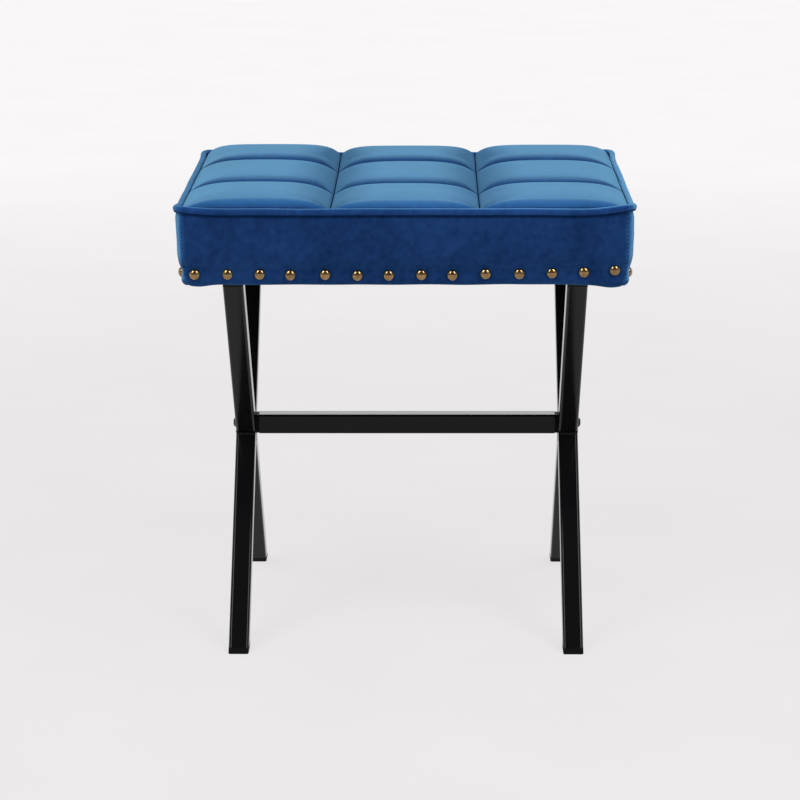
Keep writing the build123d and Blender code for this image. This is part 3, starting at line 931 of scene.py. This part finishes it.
def nail_head(shape):
    """Add one domed head that faces up on the origin, and give its points."""
    rim = bmesh.ops.create_circle(shape, cap_ends=False, segments=28, radius=nail_head_radius)["verts"]
    points = list(rim)
    ring = [edge for edge in shape.edges if set(edge.verts) <= set(rim)]
    for step in range(1, dome_steps + 1):
        angle = step / dome_steps * math.pi / 2
        grown = bmesh.ops.extrude_edge_only(shape, edges=ring)["geom"]
        verts = [item for item in grown if isinstance(item, bmesh.types.BMVert)]
        ring = [item for item in grown if isinstance(item, bmesh.types.BMEdge)
                and set(item.verts) <= set(verts)]
        size = max(math.cos(angle), dome_crown_share)
        for vert in verts:
            flat = Vector((vert.co.x, vert.co.y, 0)).normalized() * dome_radius * size
            vert.co = (flat.x, flat.y, nail_rim + (nail_head_height - nail_rim) * math.sin(angle))
        points += verts
    bmesh.ops.holes_fill(shape, edges=ring)
    return points


for side_name, turns in quarter_turns.items():
    half_width = half_sizes(turns)[1]
    hand = random.Random(turns + nail_tip_seed)
    shape = bmesh.new()
    for along, height in nail_places(side_name):
        nail = nail_head(shape)
        tip = Matrix.Rotation(hand.uniform(-nail_tip, nail_tip), 3, "X")
        tip = tip @ Matrix.Rotation(hand.uniform(-nail_tip, nail_tip), 3, "Y")
        stand = side_turn(turns) @ Matrix.Rotation(math.pi / 2, 3, "X")
        bmesh.ops.rotate(shape, cent=(0, 0, 0), matrix=stand @ tip, verts=nail)
        seat = side_turn(turns) @ Vector((along, -half_width + band_inset + nail_sink, 0))
        bmesh.ops.translate(shape, vec=(seat.x, seat.y, height), verts=nail)
    bmesh.ops.recalc_face_normals(shape, faces=shape.faces)
    piece_of(shape, f"{side_name}_nails_domed", antique_brass, "antique_brass", f"{side_name}_nails")

# Dust cover: black non-woven cloth stapled under the seat.
# It covers the turned hem of the velvet and hangs a little slack between the staples.
dust_low, dust_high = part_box("dust_cover")
dust_size = dust_high - dust_low
dust_thickness = 0.0004
dust_middle_drop = 0.0003
dust_slack = 0.00018
dust_slack_features = 7
dust_held_share = 1 / 8
dust_cloth, shader, place = surface("dust_cloth", {"Roughness": 0.92, "Specular IOR Level": 0.15})
fibres = grain(dust_cloth, place, scale=900, detail=4.0, distortion=1.2)
dust_tones = [(0.3, (0.006, 0.006, 0.007)), (0.7, (0.022, 0.022, 0.024))]
feed(dust_cloth, shader, "Base Color", shades(dust_cloth, fibres, dust_tones))
feed(dust_cloth, shader, "Normal", relief(dust_cloth, fibres, distance=0.0003))
shape = bmesh.new()
bmesh.ops.create_grid(shape, x_segments=90, y_segments=76, size=0.5)
for vert in shape.verts:
    slack = dust_slack * flat_noise(vert.co, dust_slack_features, layer=4)
    from_edge = min(0.5 - abs(vert.co.x), 0.5 - abs(vert.co.y))
    vert.co = (vert.co.x * dust_size.x, vert.co.y * dust_size.y,
               dust_high.z - dust_middle_drop + slack * min(from_edge / dust_held_share, 1))
dust_cover = piece_of(shape, "dust_cover_stapled", dust_cloth, "dust_cloth", "dust_cover")
thick = dust_cover.modifiers.new("cloth thickness", "SOLIDIFY")
thick.thickness = dust_thickness
thick.offset = 0

# Studio: a pale floor and a white room, with softboxes in front and overhead, and lit panels
# above each side and far behind. The camera stands where the photograph was taken from.
floor_reach = 14.0
floor_fade = (1.0, 3.4)
near_glow = 0.88
floor_surface, shader, place = surface("pale_floor", {"Roughness": 0.9, "Specular IOR Level": 0.1})
marks = grain(floor_surface, place, scale=4.0, detail=5.0)
floor_tones = [(0.35, (0.870, 0.850, 0.857)), (0.65, (0.885, 0.865, 0.872))]
tint = shades(floor_surface, marks, floor_tones)
feed(floor_surface, shader, "Base Color", tint)
ray = node(floor_surface, "ShaderNodeLightPath").outputs
seen = reckon(floor_surface, "MAXIMUM", ray["Is Camera Ray"], ray["Is Glossy Ray"])
seen = reckon(floor_surface, "MAXIMUM", seen, ray["Is Transmission Ray"])
away = node(floor_surface, "ShaderNodeVectorMath", {0: place}, operation="LENGTH").outputs["Value"]
fade = node(floor_surface, "ShaderNodeMapRange",
            {"Value": away, "From Min": floor_fade[0], "From Max": floor_fade[1], "To Min": near_glow},
            interpolation_type="SMOOTHSTEP").outputs["Result"]
shine = spread(floor_surface, away, given=floor_fade, wanted=(0.925, 1.08))
glow = node(floor_surface, "ShaderNodeEmission", {"Color": tint, "Strength": shine}).outputs["Emission"]
glow_share = product(floor_surface, seen, fade)
blend = node(floor_surface, "ShaderNodeMixShader", {0: glow_share, 1: shader.outputs["BSDF"], 2: glow})
output = floor_surface.node_tree.nodes["Material Output"]
floor_surface.node_tree.links.new(blend.outputs["Shader"], output.inputs["Surface"])
shape = bmesh.new()
bmesh.ops.create_grid(shape, x_segments=1, y_segments=1, size=floor_reach)
floor_mesh = bpy.data.meshes.new("floor")
shape.to_mesh(floor_mesh)
shape.free()
floor_mesh.materials.append(floor_surface)
floor = bpy.data.objects.new("floor", floor_mesh)
bpy.context.collection.objects.link(floor)

room_light = 0.55
room = bpy.data.worlds.new("white_room")
room.use_nodes = True
background = room.node_tree.nodes["Background"]
background.inputs["Color"].default_value = (1.0, 1.0, 1.0, 1.0)
ray = node(room, "ShaderNodeLightPath").outputs
seen = reckon(room, "MAXIMUM", ray["Is Camera Ray"], ray["Is Transmission Ray"])
direction = node(room, "ShaderNodeTexCoord").outputs["Generated"]
direction = node(room, "ShaderNodeSeparateXYZ", {"Vector": direction}).outputs
walls = spread(room, direction["Z"], given=(0.3, 0.8), wanted=(0.95, 0.35))
front_to_back = spread(room, direction["Y"], given=(-0.4, 0.3), wanted=(0.25, 1.0))
mirrored = product(room, walls, front_to_back)
level = mixed(room, room_light, walls, share=seen)
level = mixed(room, level, mirrored, share=ray["Is Glossy Ray"])
room.node_tree.links.new(level, background.inputs["Strength"])
bpy.context.scene.world = room

aim = Vector((0, 0, 0.35))
lamps = {
    "left_softbox": (Vector((-1.6, -1.55, 1.75)), (0.7, 0.7), 8.0),
    "right_softbox": (Vector((1.6, -1.55, 1.75)), (0.7, 0.7), 8.0),
    "left_panel": (Vector((-1.15, -0.95, 2.20)), (0.9, 0.8), 17.0),
    "right_panel": (Vector((1.15, -0.95, 2.20)), (0.9, 0.8), 17.0),
    "overhead_softbox": (Vector((0.0, 0.6, 2.8)), (2.0, 1.6), 8.0),
    "back_panel": (Vector((0.0, 5.0, 1.4)), (4.0, 1.6), 20.0),
}
for name, (spot, size, power) in lamps.items():
    lamp_data = bpy.data.lights.new(name, "AREA")
    lamp_data.shape = "RECTANGLE"
    lamp_data.size, lamp_data.size_y = size
    lamp_data.energy = power
    lamp = bpy.data.objects.new(name, lamp_data)
    lamp.location = spot
    lamp.visible_camera = False
    lamp.rotation_euler = (aim - spot).to_track_quat("-Z", "Y").to_euler()
    bpy.context.collection.objects.link(lamp)

camera_dip = 13.172
camera_roll = 0.134
camera_swing = 0.6
camera_data = bpy.data.cameras.new("camera")
camera_data.lens = 133.0
camera_data.sensor_width = 36.0
camera = bpy.data.objects.new("camera", camera_data)
camera.location = (0.0281, -3.2572, 1.00106)
camera.rotation_euler = [math.radians(angle) for angle in (90 - camera_dip, camera_roll, camera_swing)]
bpy.context.collection.objects.link(camera)
bpy.context.scene.camera = camera
bpy.context.scene.view_settings.view_transform = "Standard"
